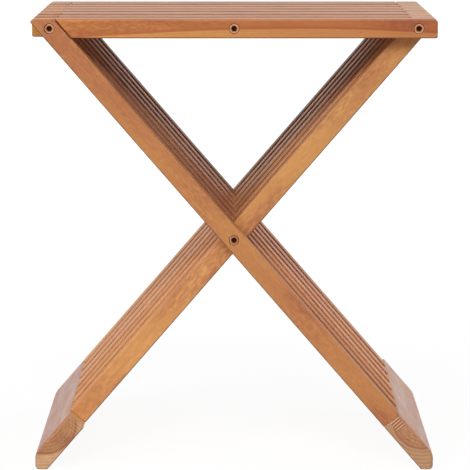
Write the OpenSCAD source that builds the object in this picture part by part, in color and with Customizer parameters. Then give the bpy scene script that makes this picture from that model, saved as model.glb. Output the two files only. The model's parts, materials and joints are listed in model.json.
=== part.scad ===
// Folding stool made of interleaved wooden strips.
// Two leg frames cross like scissors. The strips of frame a and frame b take turns from front
// to back, and each leg strip shares its layer with one slat of the seat. Four rods run from
// front to back: one through the crossing, one through each side of the seat and one through
// its middle. Folding lifts the middle of the seat, so that the slats stand up as the legs close.
// Unfolded, the sloping end of each slat rests on the leg strip in its layer and stops the fold.
// +X is to the right, +Y to the back and +Z up. The origin is on the floor, below the middle.

/* [Overall size] */
// Width across the seat
stool_w = 400; // [380:5:430]
// Height of the top of the seat
stool_h = 450; // [430:5:470]
// Height of the pivot where the leg frames cross
cross_z = 231; // [220:1:240]

/* [Strips and slats] */
// Thickness of every strip and slat, from front to back
strip_t = 22; // [18:0.5:26]
// Gap between one layer and the next
layer_gap = 1.3; // [1:0.1:3]
// Width of a leg strip, square to its length
leg_w = 20; // [18:0.5:24]
// Height of a seat slat
slat_h = 19; // [17:0.5:22]
// Rounding along the edges of strips and slats
edge_r = 1.5; // [1.3:0.1:1.8]
// Rounding along the edges that the saw leaves at their ends
cut_edge_r = 1; // [0.4:0.1:1.2]
// Rounding of the top corners at both ends of the seat
seat_end_r = 4; // [2.6:0.1:6]
// Rounding of the lower corner at a slat's square end
slat_end_r = 2; // [2:0.1:4]
// Distance from the ends of the seat to the side pivots
pivot_inset = 18.5; // [16:0.5:24]
// Clearance between a slat's sloping end and its leg strip
rest_gap = 0.4; // [0.3:0.05:0.8]

/* [Foot rails] */
// Width of a foot rail, from its upper edge down to its heel on the floor
rail_w = 57; // [48:1:66]
// Length of the floor under a foot, from its heel to the end of its toe
toe_l = 12; // [10:0.5:16]
// Rounding of the heel
heel_r = 1.2; // [0.6:0.1:3]
// Rounding under the toe
toe_r = 4; // [2:0.5:5]
// Rounding from the toe to the outer face
nose_r = 16; // [8:1:20]
// Rounding of the front and back ends of a foot rail
rail_end_r = 3; // [2.5:0.5:4]
// Rounding of a foot rail's upper edge at the end that reaches past its leg strips
rail_top_r = 2; // [2:0.1:3]
// Rounding of a leg strip's shoulder, where it stands on its foot rail
shoulder_r = 0.5; // [0.4:0.1:1]
// Length of the tenon of a leg strip
tenon_l = 28; // [18:1:32]
// Width of the tenon, from front to back
tenon_t = 14; // [10:0.5:16]
// Height of the tenon, square to the leg
tenon_h = 9; // [7:0.5:11]
// Room round a tenon in its mortise
glue_gap = 0.1; // [0.05:0.05:0.2]

/* [Rods and nuts] */
// Diameter of the rods
rod_d = 6; // [5:0.5:7]
// Clearance round a rod in its bores, on the radius
bore_gap = 0.05; // [0.02:0.01:0.1]
// Diameter of the head of a sleeve nut
head_d = 9.2; // [8.6:0.1:10]
// Thickness of the head of a sleeve nut
head_t = 2; // [1.6:0.2:2.6]
// Depth of the head's face below the wood
head_sink = 1.4; // [0.6:0.2:2]
// Room round the head in its counterbore, on the radius
head_gap = 0.5; // [0.2:0.05:0.8]
// Diameter of the sleeve of a nut
sleeve_d = 7.8; // [7.6:0.1:8]
// Length of the sleeve of a nut
sleeve_l = 11; // [9:0.5:12]
// Size across the flats of the socket
socket_af = 5; // [4:0.5:5]
// Depth of the socket
socket_deep = 4; // [3:0.5:4.5]
// Diameter of the washers between layers
washer_d = 13; // [11:0.5:15]
// Clearance between parts that turn against each other
turn_gap = 0.3; // [0.2:0.05:0.4]

/* [Hidden] */
PAIRS = 7;
LAYERS = 2 * PAIRS;
$fn = 64;
arc_steps = 4;
// How far a cutting shape reaches past the wood
over = 1;
wood_warm = [0.78, 0.50, 0.27];
wood_pale = [0.80, 0.60, 0.45];
wood_brown = [0.70, 0.45, 0.27];
metal = [0.42, 0.33, 0.27];
washer_grey = [0.55, 0.52, 0.48];

half_w = stool_w / 2;
layer_pitch = strip_t + layer_gap;
stool_d = LAYERS * strip_t + (LAYERS - 1) * layer_gap;
front_y = -stool_d / 2;
pivot_x = half_w - pivot_inset;
pivot_z = stool_h - slat_h / 2;
// Lean of a leg strip from the upright, so that it joins a side pivot to the crossing
lean = atan2(pivot_x, pivot_z - cross_z);
half_leg = leg_w / 2;
heel_run = (cross_z - half_leg * sin(lean)) / cos(lean);
rail_top = heel_run - rail_w;
head_run = norm([pivot_x, pivot_z - cross_z]) + slat_h + leg_w;
washer_t = layer_gap - turn_gap;
bore_d = rod_d + 2 * bore_gap;
sleeve_bore_d = sleeve_d + 2 * bore_gap;
counterbore_d = head_d + 2 * head_gap;
counterbore_deep = head_sink + head_t;
sleeve_bore_deep = counterbore_deep + sleeve_l + 2 * turn_gap;
// Wall behind a nut's socket, and the room from there to the end of the rod
socket_wall = 1;
// How far a rod's end stays inside the stool's front and back faces
rod_inset = head_sink + socket_deep + 2 * socket_wall;
crossing = [0, cross_z];
left_pivot = [-pivot_x, pivot_z];
right_pivot = [pivot_x, pivot_z];
seat_pivot = [0, pivot_z];

function unit(v) = v / norm(v);
// Front face of a layer, counted from 1 at the front
function layer_y(layer) = front_y + (layer - 1) * layer_pitch;
// Point of leg frame a, from its run down the leg and its side above or below the middle line
function leg_point(run, side) =
    [run * sin(lean) + side * cos(lean), cross_z - run * cos(lean) + side * sin(lean)];

heel = leg_point(heel_run, -half_leg);
toe_x = heel.x + toe_l;

// Points of the arc that rounds a corner between its two neighbours
function corner_arc(before, corner, after, r) =
    r == 0 ? [corner] :
    let (a = unit(before - corner), b = unit(after - corner))
    let (half = acos(a * b) / 2, centre = corner + unit(a + b) * r / sin(half))
    let (start = corner + a * r / tan(half) - centre, from = atan2(start.y, start.x))
    let (turn = sign(a.x * b.y - a.y * b.x) * (2 * half - 180))
    let (steps = arc_steps + floor(r / 4))
    [for (i = [0:steps]) centre + r * [cos(from + turn * i / steps), sin(from + turn * i / steps)]];

// Outline from corners that are given as [x, y, radius]
function rounded(corners) =
    let (n = len(corners), p = [for (c = corners) [c.x, c.y]])
    [for (i = [0:n - 1])
        each corner_arc(p[(i + n - 1) % n], p[i], p[(i + 1) % n], corners[i][2])];

function box_corners(low, high, r) =
    [[low.x, low.y, r], [high.x, low.y, r], [high.x, high.y, r], [low.x, high.y, r]];

// Extrudes an outline drawn in X and Z towards the back
module side_on(y, thickness) {
    translate([0, y + thickness, 0])
        rotate([90, 0, 0])
            linear_extrude(thickness)
                children();
}

// Extrudes an outline drawn in Y and Z along X, across the stool
module end_on(x, length) {
    translate([x, 0, 0])
        rotate([90, 0, 90])
            linear_extrude(length)
                children();
}

// Moves to leg frame a: the crossing is the origin, +Z goes up the leg and +X to its upper face
module on_leg() {
    translate([0, 0, cross_z])
        rotate([0, -lean, 0])
            children();
}

// Outline of what comes off a corner to round it, where out says which way leads off the wood.
// The first and last facets run on past the wood, so that they cross its faces cleanly.
function corner_waste(corner, out, r) =
    let (n = arc_steps + floor(r / 4))
    let (arc = [for (i = [0:n]) r * [sin(90 * i / n) - 1, cos(90 * i / n) - 1]])
    let (first = 2 * arc[0] - arc[1], last = 2 * arc[n] - arc[n - 1])
    let (bends = [for (i = [1:n - 1]) arc[i]])
    let (outside = [[over, last.y], [over, over], [first.x, over]])
    [for (p = concat([first], bends, [last], outside)) corner + [p.x * out.x, p.y * out.y]];

// Waste along an edge that runs front to back, at a corner in X and Z
module edge_to_back(corner, out, r, y, thickness) {
    side_on(y - over, thickness + 2 * over)
        polygon(corner_waste(corner, out, r));
}

// Waste along an edge that runs left to right, at a corner in Y and Z
module edge_across(corner, out, r, x, length) {
    end_on(x - over, length + 2 * over)
        polygon(corner_waste(corner, out, r));
}

// Waste along an upright edge, at a corner in X and Y
module edge_up(corner, out, r, z, height) {
    translate([0, 0, z - over])
        linear_extrude(height + 2 * over)
            polygon(corner_waste(corner, out, r));
}

// Waste that softens the end of a layer at x, towards side -1 or 1
module end_waste(y, side) {
    x = side * half_w;
    low = stool_h - slat_h - leg_w;
    edge_to_back([x, stool_h], [side, 1], seat_end_r, y, strip_t);
    edge_up([x, y], [side, -1], cut_edge_r, low, slat_h + leg_w);
    edge_up([x, y + strip_t], [side, 1], cut_edge_r, low, slat_h + leg_w);
}

// Bore for a rod through one layer
module rod_bore(y, pivot) {
    translate([pivot[0], y + strip_t + over, pivot[1]])
        rotate([90, 0, 0])
            cylinder(d = bore_d, h = strip_t + 2 * over);
}

// Seat for a sleeve nut in the front face at y, widening the bore there
module nut_seat(y, pivot) {
    translate([pivot[0], y - over, pivot[1]])
        rotate([-90, 0, 0]) {
            cylinder(d = counterbore_d, h = counterbore_deep + over);
            cylinder(d = sleeve_bore_d, h = sleeve_bore_deep + over);
        }
}

// Long bar of a leg strip with its tenon, before its head is cut
module leg_bar(y) {
    on_leg() {
        translate([0, 0, -rail_top])
            linear_extrude(rail_top + head_run)
                polygon(rounded(box_corners([-half_leg, y], [half_leg, y + strip_t], edge_r)));
        translate([-tenon_h / 2, y + (strip_t - tenon_t) / 2, -rail_top - tenon_l])
            cube([tenon_h, tenon_t, tenon_l + edge_r]);
    }
}

// Waste that cuts a leg strip's head to the seat's outline and softens its edges
module head_waste(y) {
    translate([-stool_w, y - over, stool_h])
        cube([2 * stool_w, strip_t + 2 * over, head_run]);
    translate([-half_w - stool_w, y - over, 0])
        cube([stool_w, strip_t + 2 * over, 2 * stool_h]);
    end_waste(y, -1);
    edge_across([y, stool_h], [-1, 1], cut_edge_r, -half_w, half_w);
    edge_across([y + strip_t, stool_h], [1, 1], cut_edge_r, -half_w, half_w);
}

// Waste that softens the shoulder of a leg strip, round its tenon
module shoulder_waste(y) {
    on_leg() {
        edge_to_back([half_leg, -rail_top], [1, -1], shoulder_r, y, strip_t);
        edge_to_back([-half_leg, -rail_top], [-1, -1], shoulder_r, y, strip_t);
    }
}

// Leg strip of frame a, for a pair's number from the front
module leg_strip(i) {
    y = layer_y(2 * i - 1);
    color(wood_warm)
        difference() {
            leg_bar(y);
            head_waste(y);
            shoulder_waste(y);
            rod_bore(y, crossing);
            rod_bore(y, left_pivot);
            if (i == 1) {
                nut_seat(y, crossing);
                nut_seat(y, left_pivot);
            }
        }
}

// Waste that cuts a slat's sloping end parallel to its leg strip and softens its edges
module slope_waste(y) {
    rest = half_leg + rest_gap;
    on_leg() {
        translate([rest - stool_w, y - over, 0])
            cube([stool_w, strip_t + 2 * over, stool_w]);
        edge_up([rest, y], [-1, -1], cut_edge_r, 0, stool_w);
        edge_up([rest, y + strip_t], [-1, 1], cut_edge_r, 0, stool_w);
    }
}

// Seat slat that turns on the right pivot, with its sloping end on frame a
module seat_slat(i) {
    y = layer_y(2 * i - 1);
    bottom = stool_h - slat_h;
    color(wood_pale)
        difference() {
            end_on(-half_w, stool_w)
                polygon(rounded(box_corners([y, bottom], [y + strip_t, stool_h], edge_r)));
            end_waste(y, 1);
            edge_to_back([half_w, bottom], [1, -1], slat_end_r, y, strip_t);
            slope_waste(y);
            rod_bore(y, seat_pivot);
            rod_bore(y, right_pivot);
            if (i == 1) {
                nut_seat(y, seat_pivot);
                nut_seat(y, right_pivot);
            }
        }
}

// Outline of a foot rail, cut flat on the floor and upright at the toe
function rail_outline() =
    let (top_in = leg_point(rail_top, -half_leg), top_out = leg_point(rail_top, half_leg))
    let (nose_run = (toe_x - half_leg * cos(lean)) / sin(lean))
    let (nose = leg_point(nose_run, half_leg))
    [
        [top_in.x, top_in.y, edge_r], [heel.x, heel.y, heel_r],
        [toe_x, 0, toe_r], [nose.x, nose.y, nose_r],
        [top_out.x, top_out.y, edge_r]
    ];

// Waste that softens the end of a foot rail at y, towards side -1 or 1
module rail_end_waste(y, side) {
    edge_up([toe_x, y], [1, side], rail_end_r, 0, rail_w);
    on_leg() {
        edge_up([half_leg, y], [1, side], rail_end_r, -heel_run - leg_w, rail_w + leg_w);
        edge_up([-half_leg, y], [-1, side], edge_r, -heel_run - leg_w, rail_w + leg_w);
    }
}

// Foot rail of frame a, with a mortise for each of its leg strips
module foot_rail() {
    mortise = [tenon_h, tenon_t, tenon_l] + glue_gap * [2, 2, 2];
    color(wood_brown)
        difference() {
            side_on(front_y, stool_d)
                polygon(rounded(rail_outline()));
            rail_end_waste(front_y, -1);
            rail_end_waste(-front_y, 1);
            on_leg()
                edge_across([-front_y, -rail_top], [1, 1], rail_top_r, -half_leg, leg_w);
            for (i = [1:PAIRS])
                on_leg()
                    translate([
                        -mortise.x / 2,
                        layer_y(2 * i - 1) + (strip_t - mortise.y) / 2,
                        -rail_top - tenon_l - glue_gap
                    ])
                        cube([mortise.x, mortise.y, mortise.z]);
        }
}

// Rod along Y between two depths
module rod(pivot, from_y, to_y) {
    color(metal)
        translate([pivot[0], to_y, pivot[1]])
            rotate([90, 0, 0])
                cylinder(d = rod_d, h = to_y - from_y);
}

// Whole rod, which ends inside the sleeve nuts
module long_rod(pivot) {
    rod(pivot, front_y + rod_inset, -front_y - rod_inset);
}

// Sleeve nut in the front face, moved out by the clearance where its wood turns on it
module front_nut(pivot, out) {
    color(metal)
        translate([pivot[0], front_y + head_sink - out, pivot[1]])
            rotate([-90, 0, 0])
                difference() {
                    union() {
                        cylinder(d = head_d, h = head_t);
                        cylinder(d = sleeve_d, h = head_t + sleeve_l);
                    }
                    translate([0, 0, -over])
                        cylinder(d = socket_af / cos(30), h = socket_deep + over, $fn = 6);
                    translate([0, 0, socket_deep + socket_wall])
                        cylinder(d = bore_d, h = head_t + sleeve_l);
                }
}

// Sleeve nut in the back face
module back_nut(pivot, out) {
    rotate([0, 0, 180])
        front_nut([-pivot[0], pivot[1]], out);
}

// Washer against the back or the front face of a layer
module washer(pivot, layer, behind) {
    color(washer_grey)
        translate([pivot[0], layer_y(layer) + (behind ? strip_t : -washer_t), pivot[1]])
            rotate([-90, 0, 0])
                difference() {
                    cylinder(d = washer_d, h = washer_t);
                    translate([0, 0, -over])
                        cylinder(d = bore_d, h = washer_t + 2 * over);
                }
}

// Washers that lie on the odd layers, one in each gap
module odd_washers(pivot) {
    for (i = [1:PAIRS]) {
        washer(pivot, 2 * i - 1, true);
        if (i > 1)
            washer(pivot, 2 * i - 1, false);
    }
}

// Frame b and the left slats are frame a and the right slats after half a turn
module half_turn() {
    rotate([0, 0, 180])
        children();
}

// Lengths of the centre rod that ride in the right slats and reach through their washers
module centre_rod_right_slats() {
    for (i = [1:PAIRS]) {
        y = layer_y(2 * i - 1);
        front = i == 1 ? front_y + rod_inset : y - washer_t;
        rod(seat_pivot, front, y + strip_t + washer_t);
    }
}

// Lengths of the centre rod that ride in the left slats
module centre_rod_left_slats() {
    for (i = [1:PAIRS]) {
        y = layer_y(2 * i);
        rod(seat_pivot, y, i == PAIRS ? -front_y - rod_inset : y + strip_t);
    }
}

module leg_a_nuts() {
    front_nut(crossing, 0);
    back_nut(crossing, turn_gap);
    front_nut(left_pivot, 0);
    back_nut(left_pivot, turn_gap);
}

module leg_b_nuts() {
    front_nut(right_pivot, turn_gap);
    back_nut(right_pivot, 0);
}

for (i = [1:PAIRS]) {
    leg_strip(i);
    half_turn() leg_strip(PAIRS + 1 - i);
    seat_slat(i);
    half_turn() seat_slat(PAIRS + 1 - i);
}
foot_rail();  // foot_rail_a
half_turn() foot_rail();  // foot_rail_b
long_rod(crossing);  // crossing_rod
long_rod(left_pivot);  // left_rod
long_rod(right_pivot);  // right_rod
centre_rod_right_slats();
centre_rod_left_slats();
leg_a_nuts();
leg_b_nuts();
front_nut(seat_pivot, 0);  // centre_nut_front
back_nut(seat_pivot, 0);  // centre_nut_back
odd_washers(crossing);  // crossing_washers
odd_washers(left_pivot);  // left_washers
half_turn() odd_washers(left_pivot);  // right_washers
odd_washers(seat_pivot);  // centre_washers
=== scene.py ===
import json
import math
import random

import bmesh
import bpy
from mathutils import Matrix, Vector


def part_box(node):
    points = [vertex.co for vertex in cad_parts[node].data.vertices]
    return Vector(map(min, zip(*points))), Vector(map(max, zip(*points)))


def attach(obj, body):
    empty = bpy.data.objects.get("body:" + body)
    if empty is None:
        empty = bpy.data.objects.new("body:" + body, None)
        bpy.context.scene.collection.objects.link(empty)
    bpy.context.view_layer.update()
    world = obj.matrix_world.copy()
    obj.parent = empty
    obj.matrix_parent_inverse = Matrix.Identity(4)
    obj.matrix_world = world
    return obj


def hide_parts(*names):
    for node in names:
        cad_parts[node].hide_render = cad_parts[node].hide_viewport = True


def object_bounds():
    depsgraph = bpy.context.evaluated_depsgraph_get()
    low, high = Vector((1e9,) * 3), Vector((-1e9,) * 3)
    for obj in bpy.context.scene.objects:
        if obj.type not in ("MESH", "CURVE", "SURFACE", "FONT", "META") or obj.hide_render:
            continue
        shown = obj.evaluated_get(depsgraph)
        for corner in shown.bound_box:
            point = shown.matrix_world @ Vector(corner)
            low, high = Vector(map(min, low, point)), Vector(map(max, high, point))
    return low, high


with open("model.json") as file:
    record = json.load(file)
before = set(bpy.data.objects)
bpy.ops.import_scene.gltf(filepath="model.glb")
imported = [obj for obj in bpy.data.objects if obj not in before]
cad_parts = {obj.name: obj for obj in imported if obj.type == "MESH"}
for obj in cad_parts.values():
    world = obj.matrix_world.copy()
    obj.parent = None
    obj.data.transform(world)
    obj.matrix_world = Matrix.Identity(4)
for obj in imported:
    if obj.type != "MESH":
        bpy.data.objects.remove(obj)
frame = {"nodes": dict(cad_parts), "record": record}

cad_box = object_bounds()

# ---------------------------------------------------------------- sizes, in metres
MM = 0.001
PAIRS = 7
LAYERS = 2 * PAIRS
STRIP_T = 22 * MM  # depth of a leg strip or slat
LEG_W = 20 * MM
SLAT_H = 19 * MM
EDGE_R, CUT_EDGE_R = 1.5 * MM, 1 * MM  # arrises along the grain and of sawn ends
SHOULDER_R = 0.5 * MM
SEAT_END_R, SLAT_END_R = 4 * MM, 2 * MM  # corners of the seat's ends, above and below
SLOPE_LOW_R, SLOPE_TOP_R = 0.5 * MM, 0.8 * MM  # corners of a slat's sloping end
REST_GAP = 0.4 * MM
RAIL_W = 57 * MM
TOE_L, TOE_R = 12 * MM, 4 * MM
HEEL_R = 1.2 * MM
NOSE_R = 16 * MM
RAIL_END_R = 3 * MM
RAIL_TOP_R = 2 * MM
TENON_L, TENON_T, TENON_H = 28 * MM, 14 * MM, 9 * MM
GLUE_GAP = 0.1 * MM
ROD_R = 3 * MM
BORE_R = 3.05 * MM
HEAD_D, HEAD_T = 9.2 * MM, 2 * MM
HEAD_SINK, HEAD_GAP = 1.4 * MM, 0.5 * MM
SEAT_RIM_R = 0.35 * MM
SLEEVE_D, SLEEVE_L = 7.8 * MM, 11 * MM
SOCKET_AF, SOCKET_DEEP = 5 * MM, 4 * MM
TURN_GAP = 0.3 * MM

joint_at = {joint["name"]: Vector(joint["pos_m"]) for joint in frame["record"]["behaviour"]["joints"]}
CROSSING = joint_at["leg_fold"]
LEFT_PIVOT = joint_at["left_slats_lift"]
RIGHT_PIVOT = joint_at["right_slats_lift"]
SEAT_PIVOT = Vector((0, 0, RIGHT_PIVOT.z))
LEAN = math.atan2(RIGHT_PIVOT.x, RIGHT_PIVOT.z - CROSSING.z)
FRONT_Y, BACK_Y = cad_box[0].y, cad_box[1].y
HALF_W, STOOL_H = cad_box[1].x, cad_box[1].z
LAYER_PITCH = (BACK_Y - FRONT_Y - STRIP_T) / (LAYERS - 1)


def layer_middle(layer):
    """Depth of the middle of a layer, counted from 1 at the front."""
    return FRONT_Y + STRIP_T / 2 + (layer - 1) * LAYER_PITCH


# ---------------------------------------------------------------- colours
def linear(red, green, blue):
    """Linear colour from 8-bit sRGB values."""
    def one(value):
        value /= 255
        return value / 12.92 if value <= 0.04045 else ((value + 0.055) / 1.055) ** 2.4
    return (one(red), one(green), one(blue), 1)


# Boards and metals, as 8-bit sRGB. Legs and rails have one of each frame
LEG_WOOD = {"a": (196, 129, 80), "b": (213, 149, 94)}
SLAT_WOOD = (189, 121, 70)
FRONT_SLAT_WOOD = (184, 111, 54)
RAIL_WOOD = {"a": (190, 123, 84), "b": (182, 114, 75)}
RAIL_SAP = {"a": (196, 139, 94), "b": (222, 160, 108)}
# Golden sapwood colour; the second left slat takes it all over as painted light
GOLDEN_SAP_AND_LIGHT = (206, 144, 76)
NUT_METAL = (176, 112, 72)
RIM_WORN_AND_LIT = (250, 216, 176)
ROD_STEEL = (150, 148, 142)
WASHER_PLASTIC = (92, 84, 76)

# Tints, as factors of the linear colour of a board
UNTINTED = (1.0, 1.0, 1.0)
PATCH_DARK, PATCH_PALE = (0.86, 0.75, 0.71), (1.16, 1.25, 1.20)
MOTTLE = (0.72, 0.65, 0.56)
STREAK = (0.88, 0.74, 0.67)
GOLDEN = (1.10, 1.16, 0.84)
BRIM = (0.80, 0.62, 0.52)
LATE_WOOD = (0.66, 0.50, 0.40)
FIBRE = (0.76, 0.64, 0.56)
PORE = (0.45, 0.34, 0.28)
SAW_DARK, SAW_PALE = (0.62, 0.40, 0.26), (1.9, 2.5, 2.9)
# The rail's upward top is painted pale as light from above, and its thin lines are painted lighter than the wood too
RAIL_TOP_LIT, RAIL_TOP_LIT_LINE = (2.1, 3.8, 4.6), (1.3, 1.8, 2.0)
# Painted shade in the gaps between slats, on a slat's sloping end, and where a slat rests on a leg
GAP_SHADE = (0.18, 0.09, 0.06)
REST_SHADE = (0.22, 0.09, 0.05)
# Edges: paler above from wear and a painted highlight, and painted shade on the edges below
WORN_LIT_EDGE = (1.2, 1.3, 1.4)
SHADED_EDGE = (0.26, 0.15, 0.11)
SLAT_END = (0.78, 0.70, 0.64)
# The legs' sawn ends are painted paler and cooler: a painted sheen on the heads in the seat's top
LEG_END_SHEEN = (1.12, 1.28, 1.45)
RAIL_END = (1.06, 1.36, 1.67)

# Tints that change along a piece: first at the head, or at the right end of a slat, then at the other end
# Painted light and shade on the front leg strips: darker at the head and paler towards the foot, as light falls on them
LEG_PAINTED_LIGHT = {"a": ((0.92, 0.91, 0.84), (1.04, 1.05, 1.11)), "b": ((0.88, 0.90, 0.82), (1.09, 1.08, 1.14))}
FRONT_SLAT_TINTS = ((0.85, 0.72, 0.75), (1.10, 1.12, 1.03))
# Painted light and shade on the strips behind the front one: sides painted paler and cooler with depth as a sheen,
# fronts painted darker as shade, most of all at the head
INNER_SIDE_PAINTED_LIGHT, INNER_FRONT_SHADE = (1.0, 1.03, 1.2), (1.0, 0.72, 0.60)
INNER_FRONT_LOW_SHADE = (0.92, 0.86, 0.84)
INNER_HEAD_FRONT_SHADE = (0.7, 0.6, 0.55)


# ---------------------------------------------------------------- material nodes
class Nodes:
    """Short names for the nodes and links of one material or world."""

    def __init__(self, owner):
        self.owner = owner
        owner.use_nodes = True
        self.tree = owner.node_tree
        self.tree.nodes.clear()

    def add(self, kind, inputs=None, **settings):
        node = self.tree.nodes.new(kind)
        for key, value in settings.items():
            setattr(node, key, value)
        for key, value in (inputs or {}).items():
            self.put(node.inputs[key], value)
        return node

    def put(self, socket, value):
        if isinstance(value, bpy.types.NodeSocket):
            self.tree.links.new(value, socket)
        else:
            socket.default_value = value

    def math(self, operation, *values):
        node = self.add("ShaderNodeMath", operation=operation)
        for socket, value in zip(node.inputs, values):
            self.put(socket, value)
        return node.outputs[0]

    def times(self, *values):
        """Product of two or more values."""
        product = values[0]
        for value in values[1:]:
            product = self.math("MULTIPLY", product, value)
        return product

    def vector(self, operation, *values):
        node = self.add("ShaderNodeVectorMath", operation=operation)
        for socket, value in zip(node.inputs, values):
            self.put(socket, value)
        return node.outputs["Value" if operation in ("LENGTH", "DOT_PRODUCT") else "Vector"]

    def parts(self, vector):
        """X, Y and Z of a vector."""
        return self.add("ShaderNodeSeparateXYZ", {"Vector": vector}).outputs

    def span(self, value, low, high, new_low=0.0, new_high=1.0, smooth=True):
        """Maps a value from one range to another."""
        node = self.add("ShaderNodeMapRange", {0: value, 1: low, 2: high, 3: new_low, 4: new_high},
                        interpolation_type="SMOOTHSTEP" if smooth else "LINEAR")
        return node.outputs[0]

    def noise(self, vector, scale, detail=2.0, roughness=0.5, output="Fac"):
        settings = {"Vector": vector, "Scale": scale, "Detail": detail, "Roughness": roughness}
        return self.add("ShaderNodeTexNoise", settings).outputs[output]

    def lines(self, value, pitch, outside, inside):
        """Lines at a pitch, which fade between two distances from their middles, as shares of the pitch."""
        place = self.math("FRACT", self.math("DIVIDE", value, pitch))
        return self.span(self.math("ABSOLUTE", self.math("SUBTRACT", place, 0.5)), outside, inside)

    def mix(self, factor, first, second, blend="MIX"):
        node = self.add("ShaderNodeMix", data_type="RGBA", blend_type=blend)
        self.put(node.inputs["Factor"], factor)
        self.put(node.inputs[6], first)
        self.put(node.inputs[7], second)
        return node.outputs[2]

    def surface(self, colour, rough, height, strength, distance, **more):
        """Ends a material in one shader with a bump. Gives the material."""
        bump = self.add("ShaderNodeBump", {"Strength": strength, "Distance": distance, "Height": height}).outputs[0]
        inputs = {"Base Color": colour, "Roughness": rough, "Normal": bump, **more}
        shader = self.add("ShaderNodeBsdfPrincipled", inputs)
        self.add("ShaderNodeOutputMaterial", {"Surface": shader.outputs[0]})
        return self.owner


def tinted(base, tint):
    """A linear colour times a tint."""
    return tuple(value * factor for value, factor in zip(base, tint)) + (1,)


# ---------------------------------------------------------------- wood as a material
# Noises: how fast each changes along the grain as a share of across it, scale, detail and roughness
NOISES = {
    "bend": (0.12, 30.0, 2.0, 0.5),
    "fade": (0.2, 60.0, 2.0, 0.5),
    "patch": (0.22, 70.0, 3.0, 0.6),
    "mottle": (0.4, 430.0, 2.0, 0.5),
    "streak": (0.03, 160.0, 2.0, 0.55),
    "gold": (0.3, 26.0, 1.0, 0.5),
    "fibre": (0.025, 1100.0, 3.0, 0.6),
    "pore": (0.05, 2600.0, 1.0, 0.5),
}
NOISE_SHIFT = 5
BEND, HEART_BEND = 14 * MM, 6 * MM  # how far the noise bends rings, and those about heartwood
PITH_NEAR, PITH_FAR = 30 * MM, 70 * MM
PITH_DRIFT = 0.03  # per length along the grain
CROOK = 0.15  # per length along the grain squared
RING_THIN, RING_THICK = 2.4 * MM, 4.0 * MM
BRIM_W, HEART_EDGE = 4 * MM, 1.2 * MM
BRIM_SHARE, END_SAP_SHARE = 0.85, 0.8
FIBRE_SHARE, PORE_SHARE = 0.3, 0.35
# Shares of the painted shade in gaps and on lower edges
SHADE_SHARE, EDGE_SHADE_SHARE = 0.9, 0.95
SAW_PITCH, TOP_LINE_PITCH = 2.9 * MM, 6.5 * MM
SAW_FROM_X, SAW_TO_X = -3 * MM, 9 * MM
FIBRE_ROUGH = 0.07
WOOD_IOR = 1.5
UNDERSIDE = STOOL_H - SLAT_H


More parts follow.
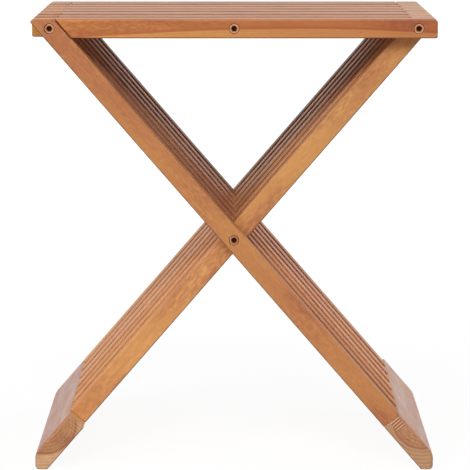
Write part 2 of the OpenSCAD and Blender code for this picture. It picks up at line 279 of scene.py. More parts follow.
class Wood(Nodes):
    """Oiled hardwood of one piece, coloured layer by layer. Its own axes are those of the piece before it is turned:
    Z along the grain, from its middle."""

    def __init__(self, name, colour, middle, turn, seed):
        super().__init__(bpy.data.materials.new(name))
        self.rand = random.Random(seed)
        self.base = linear(*colour)[:3]
        self.turn = turn
        coords = self.add("ShaderNodeTexCoord").outputs
        place = {"Vector": coords["Object"], "Location": tuple(middle), "Rotation": tuple(turn.to_euler("XYZ"))}
        self.own = self.add("ShaderNodeMapping", place, vector_type="TEXTURE").outputs[0]
        self.own_x, self.own_y, self.own_z = self.parts(self.own)
        self.shifted = self.vector("ADD", self.own, [self.rand.uniform(-NOISE_SHIFT, NOISE_SHIFT) for _ in range(3)])
        self.height = self.parts(coords["Object"])[2]

        # Faces: sawn across the grain, front or back, and the arrises between those and the sides
        self.normal = coords["Normal"]
        self.normal_x, self.normal_y, self.normal_z = self.parts(self.normal)
        self.cross_cut = self.math("ABSOLUTE", self.toward(0, 0, 1))
        self.sawn = self.span(self.cross_cut, 0.55, 0.85)
        self.frontal = self.math("ABSOLUTE", self.normal_y)
        self.arris = self.times(self.span(self.frontal, 0.1, 0.45), self.span(self.frontal, 0.99, 0.85))

    def toward(self, x, y, z):
        """How far a face looks along a direction of the piece's own axes, from -1 to 1."""
        return self.vector("DOT_PRODUCT", self.normal, tuple(self.turn @ Vector((x, y, z))))

    def figure(self, kind, output="Fac"):
        """One of the noises of the grain."""
        along, scale, detail, roughness = NOISES[kind]
        return self.noise(self.vector("MULTIPLY", self.shifted, (1, 1, along)), scale, detail, roughness, output)

    def tint(self, share, tint):
        """Puts a tint of the board's colour over the shade."""
        self.shade = self.mix(share, self.shade, tinted(self.base, tint))

    def multiply(self, share, tint):
        """Multiplies the shade by a tint."""
        self.shade = self.mix(share, self.shade, self.mix(1.0, self.shade, (*tint, 1), "MULTIPLY"))

    def grow(self, pith, sweep, heart, straight):
        """Growth rings of uneven width about the pith. Where no pith is given it lies outside the piece and drifts away
        from its axis. Sweep is the crook of the log and where along the piece it turns."""
        reach = HEART_BEND if heart else BEND
        bend = self.vector("SUBTRACT", self.figure("bend", "Color"), (0.5, 0.5, 0.5))
        bent = self.parts(self.vector("ADD", self.own, self.vector("MULTIPLY", bend, (reach, reach, 0))))
        drift = (0.0, 0.0)
        if pith is None:
            away, side = self.rand.uniform(PITH_NEAR, PITH_FAR), self.rand.uniform(0, 2 * math.pi)
            pith = (away * math.cos(side), away * math.sin(side))
            drift = [self.rand.uniform(-PITH_DRIFT, PITH_DRIFT) for _ in range(2)]
        if sweep is None:
            sweep = (0.0 if straight or heart else self.rand.uniform(-CROOK, CROOK), 0.0)
        crook, turns_at = sweep
        past = self.math("SUBTRACT", self.own_z, turns_at)
        from_x, from_y = [self.math("SUBTRACT", self.math("MULTIPLY_ADD", self.own_z, drift[i], bent[i]), pith[i])
                          for i in (0, 1)]
        from_x = self.math("SUBTRACT", from_x, self.times(past, past, crook))
        self.radius = self.vector("LENGTH", self.add("ShaderNodeCombineXYZ", {0: from_x, 1: from_y}).outputs[0])
        year = self.math("FRACT", self.math("DIVIDE", self.radius, self.rand.uniform(RING_THIN, RING_THICK)))
        fade = self.span(self.figure("fade"), 0.35, 0.65, 0.25, 1.0)
        self.late = self.times(self.span(year, 0.3, 0.92), self.span(year, 1.0, 0.93), fade)

    def colour_grain(self, streaky, golden, rings, heart, sap, side_sap):
        """Patches, mottle, streaks, heartwood and sapwood, rings, fibres and pores."""
        self.patches, self.fibre = self.figure("patch"), self.figure("fibre")
        self.pore = self.span(self.figure("pore"), 0.62, 0.74)
        self.shade = self.mix(self.span(self.patches, 0.34, 0.66),
                              tinted(self.base, PATCH_DARK), tinted(self.base, PATCH_PALE))
        self.multiply(self.span(self.figure("mottle"), 0.38, 0.62), MOTTLE)
        self.tint(self.span(self.figure("streak"), 0.38, 0.62, 0.0, streaky), STREAK)
        self.tint(self.span(self.figure("gold"), 0.4, 0.6, 0.0, golden), GOLDEN)
        if heart:
            pale = self.span(self.radius, heart, heart + HEART_EDGE)
            brim = self.times(self.span(self.radius, heart - BRIM_W, heart), self.math("SUBTRACT", 1.0, pale))
            self.tint(self.times(brim, BRIM_SHARE), BRIM)
            share = self.times(pale, self.span(self.sawn, 0, 1, side_sap, END_SAP_SHARE))
            self.shade = self.mix(share, self.shade, linear(*sap))
        self.multiply(self.times(self.late, self.span(self.sawn, 0, 1, rings / 2, rings, smooth=False)), LATE_WOOD)
        self.tint(self.span(self.fibre, 0.3, 0.75, 0.0, FIBRE_SHARE, smooth=False), FIBRE)
        self.tint(self.times(self.pore, PORE_SHARE), PORE)

    def colour_length(self, sides, front, start, end, smooth=False, leg=False, inner=False):
        """Changes the tints of the sides and of the front along the piece, from the head to the other end. On the legs
        these tints are painted light and shade. The sides of a leg's head between the slats keep the wood's own colour,
        and so does the whole back of an inner leg."""
        plain = (*UNTINTED, 1)
        along = self.span(self.own_z, start, end, smooth=smooth)
        of_sides, of_front = [self.mix(along, (*head, 1), (*low, 1)) for head, low in (sides, front)]
        if leg:
            in_seat = self.span(self.height, UNDERSIDE - MM, UNDERSIDE + MM)
            of_sides = self.mix(in_seat, of_sides, plain)
            if inner:
                # Painted shade on the fronts of inner strips' heads between the slats
                of_front = self.mix(in_seat, of_front, (*INNER_HEAD_FRONT_SHADE, 1))
                of_front = self.mix(self.span(self.normal_y, 0.5, -0.5), plain, of_front)
        of_faces = self.mix(self.span(self.frontal, 0.5, 0.9), of_sides, of_front)
        self.shade = self.mix(1.0, self.shade, of_faces, "MULTIPLY")

    def mark_saw_and_light_top(self, start, end, strength):
        """Marks of the saw on the upper part of a rail's sawn ends, and the rail's top painted pale as light from
        above, with thin lines on it.
        """
        below = self.math("SUBTRACT", self.own_y, start)
        within = self.times(self.span(below, 0, MM), self.span(below, end - start, end - start - MM))
        aside = self.times(self.span(self.own_x, SAW_FROM_X, SAW_FROM_X + 2 * MM),
                           self.span(self.own_x, SAW_TO_X, SAW_TO_X - 2 * MM))
        line = self.lines(below, SAW_PITCH, 0.18, 0.06)
        marked = self.mix(line, tinted(self.base, SAW_DARK), tinted(self.base, SAW_PALE))
        self.shade = self.mix(self.times(within, aside, self.sawn, strength), self.shade, marked)
        # Painted light: the rail's upward top face is painted pale, with thin lines
        line = self.lines(self.own_z, TOP_LINE_PITCH, 0.3, 0.12)
        lit_top = self.mix(line, tinted(self.base, RAIL_TOP_LIT), tinted(self.base, RAIL_TOP_LIT_LINE))
        self.shade = self.mix(self.span(self.toward(0, -1, 0), 0.8, 0.95), self.shade, lit_top)

    def shade_slat_gaps(self, deep):
        """Painted shade in the gaps between slats near the top, and on the sloping end, which rests on a leg."""
        top = -SLAT_H / 2
        inside = self.times(self.span(self.own_x, top + deep, top), self.span(self.frontal, 0.6, 0.9))
        slope = self.times(self.span(self.cross_cut, 0.6, 0.7), self.span(self.cross_cut, 0.9, 0.82))
        self.tint(self.times(self.math("MAXIMUM", inside, slope), SHADE_SHARE), GAP_SHADE)

    def shade_rest(self, side):
        """Painted shade on a leg where its slat rests on it. Side is 1 or -1, as the slat lies to the right or to the
        left.
        """
        contact = self.times(self.span(self.height, UNDERSIDE - MM, UNDERSIDE),
                             self.span(self.height, STOOL_H - MM, STOOL_H - 3 * MM))
        resting = self.times(self.span(self.times(self.normal_x, float(side)), 0.15, 0.4), contact)
        self.tint(self.times(resting, SHADE_SHARE), REST_SHADE)

    def wear_and_shade_edges(self, wear_and_highlight):
        """Edges paler above, partly from wear and partly as a painted highlight, and painted shade on the edges below.
        """
        lower = self.span(self.normal_z, -0.1, -0.5)
        worn_and_lit = self.times(self.arris, self.span(self.patches, 0.35, 0.6, 0.4, 1.0))
        self.tint(self.times(worn_and_lit, self.span(lower, 0, 1, wear_and_highlight, 0)), WORN_LIT_EDGE)
        self.tint(self.times(self.arris, lower, EDGE_SHADE_SHARE), SHADED_EDGE)

    def finish(self, gloss, blotchy, end_rough):
        """Roughness that varies with the patches and the fibres, and the relief of fibres, rings and pores."""
        rough = self.span(self.patches, 0.3, 0.7, gloss - blotchy, gloss + blotchy)
        rough = self.math("ADD", rough, self.times(self.fibre, FIBRE_ROUGH))
        rough = self.math("ADD", rough, self.times(self.sawn, end_rough))
        relief = self.math("ADD", self.times(self.fibre, 0.5), self.times(self.late, 0.25))
        relief = self.math("SUBTRACT", relief, self.times(self.pore, 0.5))
        return self.surface(self.shade, rough, relief, 0.3, 0.1 * MM, IOR=WOOD_IOR)


def wood(name, colour, middle, turn, seed, gloss, wear_and_highlight, end, end_rough=0.07, blotchy=0.045, streaky=0.6, golden=0.6,
         rings=0.4, straight=False, pith=None, sweep=None, heart=None, sap=None, side_sap=0.8,
         along=None, saw_marks=None, gap_shade=None, rest=None):
    """Material of one wooden piece. End is the tint of its sawn ends, on the legs' heads a painted sheen, and end_rough
    how much rougher they are, blotchy how far the roughness varies, and wear_and_highlight the paleness of the upper
    edges, from wear and a painted highlight. Heart is the radius of the darker heartwood, and side_sap the strength of
    the sapwood's colour along the grain. The last four say what only some pieces have."""
    piece = Wood(name, colour, middle, turn, seed)
    piece.grow(pith, sweep, heart, straight)
    piece.colour_grain(streaky, golden, rings, heart, sap, side_sap)
    if along:
        piece.colour_length(**along)
    if saw_marks:
        piece.mark_saw_and_light_top(*saw_marks)
    piece.multiply(piece.sawn, end)
    if gap_shade:
        piece.shade_slat_gaps(gap_shade)
    if rest:
        piece.shade_rest(rest)
    piece.wear_and_shade_edges(wear_and_highlight)
    return piece.finish(gloss, blotchy, end_rough)


# ---------------------------------------------------------------- metal and plastic
# A nut's rim is painted bright as wear and a painted highlight, and below its face it is painted dark as shade
RIM_OUT, RIM_IN = 0.4 * MM, 0.9 * MM
RECESS_SHADE_FROM, RECESS_SHADE_TO = 0.5 * MM, 1.4 * MM


def metal(name, colour, roughness, metallic, face=None, pivots=()):
    """Dull plated metal with stains and fine scratches. A nut's rim about its pivot is painted bright, as wear and as a
    painted highlight, and what lies deeper than its face is painted dark, as shade in the recess."""
    n = Nodes(bpy.data.materials.new(name))
    coords = n.add("ShaderNodeTexCoord").outputs["Object"]
    stain = n.noise(coords, 420.0, 3.0, 0.6)
    fine = n.noise(n.vector("MULTIPLY", coords, (1, 0.15, 1)), 2600.0, 2.0)
    base = linear(*colour)[:3]
    shade = n.mix(n.span(stain, 0.35, 0.7, 0.0, 0.6), (*base, 1), tinted(base, (0.66, 0.62, 0.58)))
    rough = n.math("ADD", n.span(stain, 0.3, 0.7, roughness - 0.06, roughness + 0.12), n.times(fine, 0.1))
    if face is not None:
        near = None
        for pivot in pivots:
            flat = n.vector("MULTIPLY", n.vector("SUBTRACT", coords, tuple(pivot)), (1, 0, 1))
            away = n.vector("LENGTH", flat)
            near = away if near is None else n.math("MINIMUM", near, away)
        # Wear and a painted highlight on the nut's rim
        rim = n.span(near, HEAD_D / 2 - RIM_IN, HEAD_D / 2 - RIM_OUT)
        worn_and_lit = n.span(n.noise(coords, 30.0, 1.0), 0.38, 0.58, 0.1, 0.9)
        shade = n.mix(n.times(rim, worn_and_lit), shade, linear(*RIM_WORN_AND_LIT))
        # Painted shade in the recess: what lies deeper than the nut's face
        recess_shade = n.span(n.math("ABSOLUTE", n.parts(coords)[1]), face - RECESS_SHADE_FROM, face - RECESS_SHADE_TO)
        shade = n.mix(n.times(recess_shade, 0.96), shade, tinted(base, (0.14, 0.05, 0.03)))
        rough = n.math("ADD", rough, n.times(recess_shade, 0.4))
    return n.surface(shade, rough, fine, 0.3, 0.05 * MM, Metallic=metallic)


def plastic(name, colour):
    """Dull moulded plastic of the washers."""
    n = Nodes(bpy.data.materials.new(name))
    cloud = n.noise(n.add("ShaderNodeTexCoord").outputs["Object"], 300.0, 3.0)
    base = linear(*colour)[:3]
    shade = n.mix(n.span(cloud, 0.3, 0.7), tinted(base, (0.85, 0.85, 0.85)), (*base, 1))
    rough = n.span(cloud, 0.3, 0.7, 0.4, 0.55)
    return n.surface(shade, rough, cloud, 0.2, 0.05 * MM)


def dress(node, material):
    """Gives a CAD node's slots a better material."""
    for slot in frame["nodes"][node].material_slots:
        slot.material = material


# ---------------------------------------------------------------- shapes
ARC_STEPS = 6
ARRIS_STEPS = 5
LEAST_R = 0.12 * MM
ARC_ROOM = 0.98  # share of a side that the arcs at its two corners may take
SHARP_ANGLE = math.radians(35)
OVERCUT = 1 * MM  # how far a cutter reaches past what it cuts
TURNED_STEPS = 48
QUARTER_STEPS = 4


def new_piece(name, mesh, material, body, slot, *nodes):
    """Names a finished mesh, dresses it, and puts it in the place of its CAD nodes."""
    piece = bpy.data.objects.new(name, mesh)
    mesh.materials.clear()
    mesh.materials.append(material)
    bpy.context.scene.collection.objects.link(piece)
    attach(piece, body)
    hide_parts(*nodes)
    return piece


def ring(corners, turn):
    """One loop of an outline at an angle round its arris: 0 on the sides and 90 degrees on the face.
    A corner is (x, z, radius, arris of the side that follows). Gives (x, z, depth) points."""
    inset, rise = 1 - math.cos(turn), 1 - math.sin(turn)
    sides = []
    for i, corner in enumerate(corners):
        start, end = Vector(corner[:2]), Vector(corners[(i + 1) % len(corners)][:2])
        along = (end - start).normalized()
        inward = Vector((-along.y, along.x))
        sides.append((start + inward * corner[3] * inset, along, inward))
    bends, places, reaches = [], [], []
    for i, corner in enumerate(corners):
        (start_a, along_a, _), (start_b, along_b, _) = sides[i - 1], sides[i]
        gap = start_b - start_a
        cross = along_a.x * along_b.y - along_a.y * along_b.x
        bends.append(math.atan2(cross, along_a.dot(along_b)))
        places.append(start_a + along_a * (gap.x * along_b.y - gap.y * along_b.x) / cross)
        radius = max(corner[2] - (corners[i - 1][3] + corner[3]) / 2 * inset, LEAST_R)
        reaches.append(radius * math.tan(bends[i] / 2))
    for i in range(len(corners)):
        j = (i + 1) % len(corners)
        room = (places[j] - places[i]).length * ARC_ROOM
        if reaches[i] + reaches[j] > room:
            longer = i if reaches[i] > reaches[j] else j
            reaches[longer] = room - min(reaches[i], reaches[j])
    points = []
    for i, corner in enumerate(corners):
        _, along_a, inward_a = sides[i - 1]
        radius = reaches[i] / math.tan(bends[i] / 2)
        centre = places[i] - along_a * reaches[i] + inward_a * radius
        for step in range(ARC_STEPS + 1):
            share = step / ARC_STEPS
            spoke = Matrix.Rotation(bends[i] * share, 2) @ (-inward_a)
            arris = corners[i - 1][3] + (corner[3] - corners[i - 1][3]) * share
            point = centre + spoke * radius
            points.append((point.x, point.y, arris * rise))
    return points


def board(name, corners, front, back, back_corners=None):
    """Solid from a side outline, with every arris between its sides and its front and back faces rounded."""
    turns = [math.pi / 2 * step / ARRIS_STEPS for step in range(ARRIS_STEPS + 1)]
    loops = [[(x, front + deep, z) for x, z, deep in ring(corners, turn)] for turn in reversed(turns)]
    loops += [[(x, back - deep, z) for x, z, deep in ring(back_corners or corners, turn)] for turn in turns]
    bm = bmesh.new()
    rows = [[bm.verts.new(point) for point in loop] for loop in loops]
    for row, after in zip(rows, rows[1:]):
        for i in range(len(row)):
            j = (i + 1) % len(row)
            bm.faces.new((row[i], row[j], after[j], after[i]))
    bm.faces.new(reversed(rows[0]))
    bm.faces.new(rows[-1])
    return to_mesh(name, bm)


def box(name, centre, turn, size):
    """Box with its own axes, used as a tenon or to cut."""
    bm = bmesh.new()
    place = Matrix.Translation(centre) @ turn.to_4x4() @ Matrix.Diagonal((*size, 1))
    bmesh.ops.create_cube(bm, size=1, matrix=place)
    return to_mesh(name, bm)


def turned_solid(name, profile, pivot, face, inward, steps=TURNED_STEPS, start=0.0):
    """Solid of revolution about a pivot's line. The profile has (depth, radius) points, and depth counts from the
    face along inward, which is 1 towards the back and -1 towards the front."""
    bm = bmesh.new()
    rows = []
    for depth, radius in profile:
        y = face + inward * depth
        rows.append([bm.verts.new((pivot.x + radius * math.cos(a), y, pivot.z + radius * math.sin(a)))
                     for a in (start + 2 * math.pi * k / steps for k in range(steps))])
    for row, after in zip(rows, rows[1:]):
        for i in range(steps):
            j = (i + 1) % steps
            bm.faces.new((row[i], row[j], after[j], after[i]))
    bm.faces.new(rows[0])
    bm.faces.new(rows[-1])
    return to_mesh(name, bm)


def to_mesh(name, bm):
    bmesh.ops.recalc_face_normals(bm, faces=bm.faces)
    mesh = bpy.data.meshes.new(name)
    bm.to_mesh(mesh)
    bm.free()
    return mesh


def evaluated(piece):
    """The mesh of an object with its modifiers applied."""
    return bpy.data.meshes.new_from_object(piece.evaluated_get(bpy.context.evaluated_depsgraph_get()))


def finished(mesh, cutters=(), added=()):
    """Cuts shapes out of a mesh, joins others to it, and smooths it so that flat faces stay flat."""
    scene = bpy.context.scene.collection
    piece = bpy.data.objects.new("work", mesh)
    scene.objects.link(piece)
    knives = []
    for cutter in cutters:
        knife = bpy.data.objects.new("knife", cutter)
        scene.objects.link(knife)
        knives.append(knife)
        cut = piece.modifiers.new("cut", "BOOLEAN")
        cut.operation, cut.solver, cut.object = "DIFFERENCE", "EXACT", knife
    result = evaluated(piece)
    if added:
        bm = bmesh.new()
        for part in (result, *added):
            bm.from_mesh(part)
        bm.to_mesh(result)
        bm.free()
    piece.modifiers.clear()
    piece.data = result
    result.shade_smooth()
    result.set_sharp_from_angle(angle=SHARP_ANGLE)
    weigh = piece.modifiers.new("weigh", "WEIGHTED_NORMAL")
    weigh.keep_sharp = True
    result = evaluated(piece)
    for thing in (piece, *knives):
        bpy.data.objects.remove(thing)
    return result


# ---------------------------------------------------------------- wood
LEG_TURN = {"a": Matrix.Rotation(-LEAN, 3, "Y"), "b": Matrix.Rotation(LEAN, 3, "Y")}
SLAT_TURN = Matrix.Rotation(math.radians(90), 3, "Y")
TO_BACK = Matrix.Rotation(math.radians(-90), 3, "X")

HEEL_RUN = (CROSSING.z - LEG_W / 2 * math.sin(LEAN)) / math.cos(LEAN)
RAIL_TOP = HEEL_RUN - RAIL_W
# Of each rail: the pith in X and Z, and the radius of its heartwood
RAIL_LOG = {"a": (188 * MM, 50 * MM, 29.5 * MM), "b": (191 * MM, 49 * MM, 34 * MM)}
# Saw marks lie between these distances from the top of a rail
SAW_MARKS = (0.5 * MM, 12.5 * MM)
SAW_STRENGTH = {"a": 0.9, "b": 0.25}


def leg_point(run, side, mirror=1):
    """Point of a leg frame in X and Z, from its run down the leg and its side above or below the middle line."""
    return Vector((mirror * (run * math.sin(LEAN) + side * math.cos(LEAN)),
                   CROSSING.z - run * math.cos(LEAN) + side * math.sin(LEAN)))


def ccw(corners, mirror):
    """Corners in anticlockwise order. Mirrored ones turn the other way, so their order and sides swap."""
    if mirror == 1:
        return corners
    back = corners[::-1]
    return [(x, z, r, back[(i + 1) % len(back)][3]) for i, (x, z, r, _) in enumerate(back)]


def leg_outline(mirror):
    """Corners of a leg strip: square at the foot, cut to the end and the top of the seat at the head."""
    def on_line(side, x=None, z=None):
        run = (CROSSING.z + side * math.sin(LEAN) - z) / math.cos(LEAN) if z is not None else (
            (x - side * math.cos(LEAN)) / math.sin(LEAN))
        point = leg_point(run, side)
        return point.x, point.y
    half = LEG_W / 2
    foot_low, foot_high = leg_point(RAIL_TOP, -half), leg_point(RAIL_TOP, half)
    corners = [
        (*foot_low, LEAST_R, SHOULDER_R), (*foot_high, LEAST_R, EDGE_R),
        (*on_line(half, z=STOOL_H), LEAST_R, CUT_EDGE_R), (-HALF_W, STOOL_H, SEAT_END_R, CUT_EDGE_R),
        (*on_line(-half, x=-HALF_W), LEAST_R, EDGE_R),
    ]
    return ccw([(mirror * x, z, r, a) for x, z, r, a in corners], mirror)


def slat_outline(mirror, drop):
    """Corners of a right slat, with its top a little below the seat's."""
    rest = LEG_W / 2 + REST_GAP
    top, bottom = STOOL_H - drop, UNDERSIDE

    def slope_x(z):
        return leg_point((CROSSING.z + rest * math.sin(LEAN) - z) / math.cos(LEAN), rest).x
    corners = [
        (slope_x(bottom), bottom, SLOPE_LOW_R, EDGE_R), (HALF_W, bottom, SLAT_END_R, CUT_EDGE_R),
        (HALF_W, top, SEAT_END_R, EDGE_R), (slope_x(top), top, SLOPE_TOP_R, CUT_EDGE_R),
    ]
    return ccw([(mirror * x, z, r, a) for x, z, r, a in corners], mirror)


def rail_outline(mirror, top_r):
    """Corners of a foot rail, flat on the floor and upright at the toe, with the arris above its end."""
    half = LEG_W / 2
    heel, top_in, top_out = leg_point(HEEL_RUN, -half), leg_point(RAIL_TOP, -half), leg_point(RAIL_TOP, half)
    toe_x = heel.x + TOE_L
    nose = leg_point((toe_x - half * math.cos(LEAN)) / math.sin(LEAN), half)
    corners = [
        (*top_in, EDGE_R, EDGE_R), (heel.x, 0, HEEL_R, CUT_EDGE_R), (toe_x, 0, TOE_R, RAIL_END_R),
        (*nose, NOSE_R, RAIL_END_R), (*top_out, EDGE_R, top_r),
    ]
    return ccw([(mirror * x, z, r, a) for x, z, r, a in corners], mirror)


def bore(pivot, front, back):
    """Plain bore for a rod through one layer."""
    return turned_solid("bore", [(-OVERCUT, BORE_R), (back - front + OVERCUT, BORE_R)], pivot, front, 1)


def quarter_turn():
    """Angles from 0 to 90 degrees along a small rounded edge."""
    return [math.pi / 2 * k / QUARTER_STEPS for k in range(QUARTER_STEPS + 1)]


def nut_seat(pivot, face, inward):
    """Counterbore with a softened rim, and the wider bore for the nut's sleeve."""
    wide = HEAD_D / 2 + HEAD_GAP
    deep = HEAD_SINK + HEAD_T
    sleeve_r = SLEEVE_D / 2 + BORE_R - ROD_R
    rim = [(SEAT_RIM_R * (1 - math.cos(a)), wide + SEAT_RIM_R * (1 - math.sin(a))) for a in quarter_turn()]
    profile = [(-OVERCUT, rim[0][1]), *rim, (deep, wide), (deep, sleeve_r), (deep + SLEEVE_L, sleeve_r),
               (deep + SLEEVE_L, BORE_R), (STRIP_T + OVERCUT, BORE_R)]
    return turned_solid("seat", profile, pivot, face, inward)


def bores(layer, *pivots):
    """Cutters for a layer's bores. The front and the back layer have a nut in each."""
    front = layer_middle(layer) - STRIP_T / 2
    back = front + STRIP_T
    if layer == 1:
        return [nut_seat(pivot, front, 1) for pivot in pivots]
    if layer == LAYERS:
        return [nut_seat(pivot, back, -1) for pivot in pivots]
    return [bore(pivot, front, back) for pivot in pivots]


# Seeds of the random draws, and the ranges of each board's shade and of its channels
SEEDS = {"a": 100, "b": 200, "right": 300, "left": 400, "rail": 500}
LEG_SHADES, LEG_HUES = (0.95, 1.03), (0.99, 1.01)
SLAT_SHADES, SLAT_HUES = (0.93, 1.06), (0.98, 1.02)
# How much lower than the seat the tops of inner slats are
SLAT_DROPS = {"right": (0, 0.2 * MM), "left": (0.7 * MM, 1.4 * MM)}
# Roughness, wear and painted highlight of the upper edges, and golden patches. The legs' first pairs are drier, but
# their ends take a sheen
DRY_PAIRS = 3
DRY_GLOSS, DRY_END_ROUGH = 0.6, -0.26
OILED_GLOSS, OILED_END_ROUGH = 0.46, -0.12
FRONT_LEG_WEAR_AND_HIGHLIGHT, FRONT_LEG_GOLDEN = 0.3, 0.6
INNER_LEG_WEAR_AND_HIGHLIGHT, INNER_LEG_GOLDEN = 0.7, 0.25
SLAT_GLOSS, SLAT_WEAR_AND_HIGHLIGHT = 0.34, 0.5
RAIL_GLOSS, RAIL_WEAR_AND_HIGHLIGHT = 0.33, 0.1
RAIL_GRAIN = {"blotchy": 0.07, "streaky": 0.2, "rings": 0.8, "side_sap": 0.2}
# Where tints along a piece end, as a share of where they start, and where those of inner strips start and end
TINTS_END = -0.6
INNER_TINTS_START, INNER_TINTS_END = 60 * MM, -50 * MM
# Levels of the painted light and shade of inner strips: of the sides, then of the front
SIDE_LEVEL, SIDE_STEP, SIDE_LOW, BACK_SIDE_LEVEL = 0.68, 0.15, 1.3, 0.45
FRONT_LEVEL, FRONT_STEP, FRONT_LEAST = 0.66, 0.12, 0.2
FRONT_SLAT_LOG = {"pith": (-56 * MM, 0), "sweep": (0.2, 55 * MM), "heart": 56.6 * MM, "sap": GOLDEN_SAP_AND_LIGHT}
# How deep below a slat's top the painted shade reaches into the gaps
GAP_SHADE_DEEP = 5 * MM


def varied(colour, rand, shades, hues):
    """A board's own colour: lighter or darker as a whole, and a little different in each channel."""
    shade = rand.uniform(*shades)
    return [value * shade * rand.uniform(*hues) for value in colour]


def inner_painted_light(i):
    """Painted light and shade of a strip behind the front one. Towards the head its front is painted darker, as shade,
    the more so the deeper it lies, and its sides are painted paler with depth, as a sheen, except those of the
    back-most strip, which are painted darker."""
    side_level = BACK_SIDE_LEVEL if i == PAIRS else SIDE_LEVEL + SIDE_STEP * (i - 1)
    front_level = max(FRONT_LEVEL - FRONT_STEP * (i - 1), FRONT_LEAST)
    sides = [[value * level for value in INNER_SIDE_PAINTED_LIGHT] for level in (side_level, SIDE_LOW)]
    front = [value * front_level for value in INNER_FRONT_SHADE], INNER_FRONT_LOW_SHADE
    return {"sides": sides, "front": front, "start": INNER_TINTS_START, "end": INNER_TINTS_END,
            "smooth": True, "leg": True, "inner": True}


def make_leg_strip(side, i):
    mirror, layer = (1, 2 * i - 1) if side == "a" else (-1, 2 * i)
    seed = SEEDS[side] + i
    y = layer_middle(layer)
    body = board("strip", leg_outline(mirror), y - STRIP_T / 2, y + STRIP_T / 2)
    foot = leg_point(RAIL_TOP + TENON_L / 2 - EDGE_R, 0, mirror)
    tenon = box("tenon", (foot.x, y, foot.y), LEG_TURN[side], (TENON_H, TENON_T, TENON_L + 2 * EDGE_R))
    pivot = LEFT_PIVOT if side == "a" else RIGHT_PIVOT
    mesh = finished(body, bores(layer, CROSSING, pivot), [tenon])
    colour, wear_and_highlight, golden = LEG_WOOD[side], FRONT_LEG_WEAR_AND_HIGHLIGHT, FRONT_LEG_GOLDEN
    along = {"sides": LEG_PAINTED_LIGHT[side], "front": LEG_PAINTED_LIGHT[side], "start": RAIL_TOP, "end": RAIL_TOP * TINTS_END,
             "leg": True}
    if i > 1:
        colour = varied(colour, random.Random(seed), LEG_SHADES, LEG_HUES)
        along, wear_and_highlight, golden = inner_painted_light(i), INNER_LEG_WEAR_AND_HIGHLIGHT, INNER_LEG_GOLDEN
    gloss, end_rough = (DRY_GLOSS, DRY_END_ROUGH) if i <= DRY_PAIRS else (OILED_GLOSS, OILED_END_ROUGH)
    material = wood(f"leg_{side}_wood_{i}", colour, (0, y, CROSSING.z), LEG_TURN[side], seed, gloss, wear_and_highlight, LEG_END_SHEEN,
                    end_rough=end_rough, golden=golden, straight=True, along=along, rest=mirror)
    new_piece(f"leg_{side}_strip_{i}_wood", mesh, material, f"leg_frame_{side}", "leg_wood", f"leg_{side}_strip_{i}")


def make_slat(side, i):
    mirror, layer = (1, 2 * i - 1) if side == "right" else (-1, 2 * i)
    seed = SEEDS[side] + i
    rand = random.Random(seed)
    y = layer_middle(layer)
    drop = rand.uniform(*SLAT_DROPS[side])
    colour = varied(SLAT_WOOD, rand, SLAT_SHADES, SLAT_HUES)
    figure = {"gap_shade": GAP_SHADE_DEEP}
    if layer == 1:
        colour = FRONT_SLAT_WOOD
        along = {"sides": (UNTINTED, UNTINTED), "front": FRONT_SLAT_TINTS, "start": HALF_W, "end": HALF_W * TINTS_END}
        figure = {**FRONT_SLAT_LOG, "along": along}
    # Painted light: the second left slat is coloured paler all over to look as lit as the leg strip in front of it,
    # which shades it
    elif layer == 2:
        colour = GOLDEN_SAP_AND_LIGHT
    outline = slat_outline(mirror, drop if 1 < layer < LAYERS else 0)
    body = board("slat", outline, y - STRIP_T / 2, y + STRIP_T / 2)
    mesh = finished(body, bores(layer, SEAT_PIVOT, RIGHT_PIVOT if side == "right" else LEFT_PIVOT))
    material = wood(f"{side}_slat_wood_{i}", colour, (0, y, RIGHT_PIVOT.z), SLAT_TURN, seed,
                    SLAT_GLOSS, SLAT_WEAR_AND_HIGHLIGHT, SLAT_END, **figure)
    new_piece(f"{side}_slat_{i}_wood", mesh, material, f"{side}_slats", "slat_wood", f"{side}_slat_{i}")


def make_rail(side):
    mirror, first = (1, 1) if side == "a" else (-1, 2)
    ends = [rail_outline(mirror, top_r) for top_r in (LEAST_R, RAIL_TOP_R)[::mirror]]
    body = board("rail", ends[0], FRONT_Y, BACK_Y, ends[1])
    foot = leg_point(RAIL_TOP + TENON_L / 2 - OVERCUT, 0, mirror)
    room = 2 * GLUE_GAP
    mortises = [box("mortise", (foot.x, layer_middle(layer), foot.y), LEG_TURN[side],
                    (TENON_H + room, TENON_T + room, TENON_L + room + 2 * OVERCUT))
                for layer in range(first, LAYERS + 1, 2)]
    mesh = finished(body, mortises)
    low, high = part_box(f"foot_rail_{side}")
    middle = (low + high) / 2
    turn = LEG_TURN[side] @ TO_BACK
    pith_x, pith_z, heart = RAIL_LOG[side]

    def to_own(x, z):
        return turn.transposed() @ (Vector((x, 0, z)) - middle)
    top = to_own(*leg_point(RAIL_TOP, 0, mirror)).y
    material = wood(f"rail_{side}_wood", RAIL_WOOD[side], middle, turn, SEEDS["rail"] + mirror, RAIL_GLOSS, RAIL_WEAR_AND_HIGHLIGHT,
                    RAIL_END, pith=to_own(mirror * pith_x, pith_z), heart=heart, sap=RAIL_SAP[side],
                    saw_marks=(top + SAW_MARKS[0], top + SAW_MARKS[1], SAW_STRENGTH[side]), **RAIL_GRAIN)
    new_piece(f"foot_rail_{side}_wood", mesh, material, f"leg_frame_{side}", "rail_wood", f"foot_rail_{side}")


for number in range(1, PAIRS + 1):
    make_leg_strip("a", number)
    make_leg_strip("b", number)
    make_slat("right", number)
    make_slat("left", number)
make_rail("a")
make_rail("b")

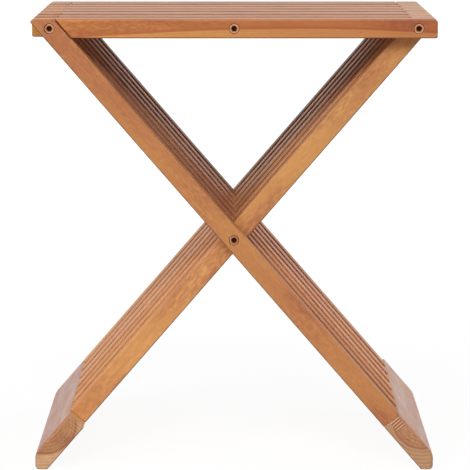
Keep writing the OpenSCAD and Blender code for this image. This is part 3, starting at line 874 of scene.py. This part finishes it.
# ---------------------------------------------------------------- nuts, rods and washers
HEAD_EDGE_R = 0.5 * MM
LEAD_IN_OUT, LEAD_IN_DEEP = 0.2 * MM, 0.5 * MM
LEAD_IN_WIDER, LEAD_IN_NARROWER = 0.6 * MM, 0.1 * MM


def sleeve_nut(pivot, face, inward):
    """Sleeve nut with a rounded head, a hexagon socket with a lead-in, and the thread's bore."""
    edge = HEAD_EDGE_R
    rim = [(edge * (1 - math.sin(a)), HEAD_D / 2 - edge * (1 - math.cos(a))) for a in reversed(quarter_turn())]
    under = HEAD_T + SLEEVE_L
    outside = [(0, HEAD_D / 2 - 1.2 * edge), *rim, (HEAD_T, HEAD_D / 2), (HEAD_T, SLEEVE_D / 2),
               (under - edge, SLEEVE_D / 2), (under, SLEEVE_D / 2 - edge)]
    corner_r = SOCKET_AF / 2 / math.cos(math.radians(30))
    socket = turned_solid("socket", [(-OVERCUT, corner_r), (SOCKET_DEEP, corner_r)], pivot, face, inward, 6)
    lead_in = turned_solid("lead_in", [(-LEAD_IN_OUT, SOCKET_AF / 2 + LEAD_IN_WIDER),
                                       (LEAD_IN_DEEP, SOCKET_AF / 2 - LEAD_IN_NARROWER)], pivot, face, inward)
    thread = turned_solid("thread", [(SOCKET_DEEP + MM, BORE_R), (under + OVERCUT, BORE_R)], pivot, face, inward)
    return finished(turned_solid("nut", outside, pivot, face, inward), [socket, lead_in, thread])


def joined(*meshes):
    bm = bmesh.new()
    for mesh in meshes:
        bm.from_mesh(mesh)
    result = bpy.data.meshes.new("joined")
    bm.to_mesh(result)
    bm.free()
    return result


def front_nut(pivot, out=0.0):
    return sleeve_nut(pivot, FRONT_Y + HEAD_SINK - out, 1)


def back_nut(pivot, out=0.0):
    return sleeve_nut(pivot, BACK_Y - HEAD_SINK + out, -1)


nut_metal = metal("nut_plating", NUT_METAL, roughness=0.4, metallic=0.5, face=BACK_Y - HEAD_SINK,
                  pivots=(CROSSING, LEFT_PIVOT, RIGHT_PIVOT, SEAT_PIVOT))
rod_steel = metal("rod_plating", ROD_STEEL, roughness=0.3, metallic=0.9)
washer_plastic = plastic("washer_plastic_dark", WASHER_PLASTIC)
leg_a_nuts = joined(front_nut(CROSSING), back_nut(CROSSING, TURN_GAP),
                    front_nut(LEFT_PIVOT), back_nut(LEFT_PIVOT, TURN_GAP))
leg_b_nuts = joined(front_nut(RIGHT_PIVOT, TURN_GAP), back_nut(RIGHT_PIVOT))
new_piece("leg_a_nuts_metal", leg_a_nuts, nut_metal, "leg_frame_a", "nut_metal", "leg_a_nuts")
new_piece("leg_b_nuts_metal", leg_b_nuts, nut_metal, "leg_frame_b", "nut_metal", "leg_b_nuts")
new_piece("centre_nut_front_metal", front_nut(SEAT_PIVOT), nut_metal, "right_slats", "nut_metal", "centre_nut_front")
new_piece("centre_nut_back_metal", back_nut(SEAT_PIVOT), nut_metal, "left_slats", "nut_metal", "centre_nut_back")
for node in ("crossing_rod", "left_rod", "right_rod", "centre_rod_right_slats", "centre_rod_left_slats"):
    dress(node, rod_steel)
for node in ("crossing_washers", "left_washers", "right_washers", "centre_washers"):
    dress(node, washer_plastic)

# ---------------------------------------------------------------- floor, light and camera
FLOOR_SIZE = 40
FLOOR_COLOUR = 0.8
BACKGROUND_SHARE = 0.86
GLOW_NEAR, GLOW_FAR = (0.3, 1.08), (2.0, 1.3)  # distance from the floor's middle, and strength
WORLD_LEVEL = 0.02
LIGHT_TARGET = (0, 0, 0.25)
LAMPS = {  # place, size and power
    "key": ((-1.9, -2.2, 1.6), (1.4, 1.4), 39),
    "front": ((0, -2.8, 2.0), (1.2, 1.0), 46),
    "right_high": ((2.4, -0.3, 2.6), (1.5, 1.5), 19),
    "left_high": ((-2.4, -0.3, 2.6), (1.5, 1.5), 5),
    "right_back": ((2.6, 1.4, 1.3), (1.4, 1.2), 20),
    "left_back": ((-2.6, 1.4, 1.3), (1.4, 1.2), 9),
}
PHOTO_W, FOCAL_PIXELS = 470, 2985.4
SENSOR_W = 36
CAMERA_PLACE = (0.0019, -3.0913, 0.6251)
CAMERA_DOWN, CAMERA_TO_LEFT = math.radians(7.557), math.radians(0.02)


def showing(n):
    """1 for the rays that show the white background: those of the camera, of reflections and of glass."""
    rays = n.add("ShaderNodeLightPath").outputs
    seen = n.math("MAXIMUM", rays["Is Camera Ray"], rays["Is Glossy Ray"])
    return n.math("MAXIMUM", seen, rays["Is Transmission Ray"])


def floor_material():
    """White floor that lights the stool from below. The camera sees it as a white background that keeps the shadow."""
    n = Nodes(bpy.data.materials.new("white_floor"))
    diffuse = n.add("ShaderNodeBsdfDiffuse", {"Color": (FLOOR_COLOUR, FLOOR_COLOUR, FLOOR_COLOUR, 1)})
    away = n.vector("LENGTH", n.add("ShaderNodeTexCoord").outputs["Object"])
    glow = n.span(away, GLOW_NEAR[0], GLOW_FAR[0], GLOW_NEAR[1], GLOW_FAR[1])
    white = n.add("ShaderNodeEmission", {"Color": (1, 1, 1, 1), "Strength": glow})
    both = n.add("ShaderNodeMixShader", {"Fac": n.times(showing(n), BACKGROUND_SHARE),
                                         1: diffuse.outputs[0], 2: white.outputs[0]})
    n.add("ShaderNodeOutputMaterial", {"Surface": both.outputs[0]})
    return n.owner


def make_floor():
    mesh = bpy.data.meshes.new("floor")
    half = FLOOR_SIZE / 2
    mesh.from_pydata([(-half, -half, 0), (half, -half, 0), (half, half, 0), (-half, half, 0)], [], [(0, 1, 2, 3)])
    floor = bpy.data.objects.new("floor", mesh)
    floor.data.materials.append(floor_material())
    bpy.context.scene.collection.objects.link(floor)


def make_world(level):
    """Even light of the given level. The camera and reflections see white."""
    n = Nodes(bpy.data.worlds.new("studio"))
    strength = n.span(showing(n), 0, 1, level, 1.0, smooth=False)
    background = n.add("ShaderNodeBackground", {"Color": (1, 1, 1, 1), "Strength": strength})
    n.add("ShaderNodeOutputWorld", {"Surface": background.outputs[0]})
    bpy.context.scene.world = n.owner


def area_light(name, place, size, power):
    data = bpy.data.lights.new(name, "AREA")
    data.shape = "RECTANGLE"
    data.size, data.size_y = size
    data.energy = power
    lamp = bpy.data.objects.new(name, data)
    lamp.location = place
    lamp.rotation_euler = (Vector(LIGHT_TARGET) - Vector(place)).to_track_quat("-Z", "Y").to_euler()
    bpy.context.scene.collection.objects.link(lamp)


def make_camera():
    """Camera of the photograph, with its place and angles as fitted to the photograph's pivots and corners."""
    data = bpy.data.cameras.new("camera")
    data.sensor_width = SENSOR_W
    data.lens = FOCAL_PIXELS / PHOTO_W * SENSOR_W
    data.clip_start, data.clip_end = 0.1, 100
    camera = bpy.data.objects.new("camera", data)
    camera.rotation_mode = "XYZ"
    camera.rotation_euler = (math.pi / 2 - CAMERA_DOWN, 0, CAMERA_TO_LEFT)
    camera.location = CAMERA_PLACE
    bpy.context.scene.collection.objects.link(camera)
    bpy.context.scene.camera = camera


make_floor()
make_world(WORLD_LEVEL)
for name, lamp in LAMPS.items():
    area_light(name, *lamp)
make_camera()
bpy.context.scene.view_settings.view_transform = "Standard"
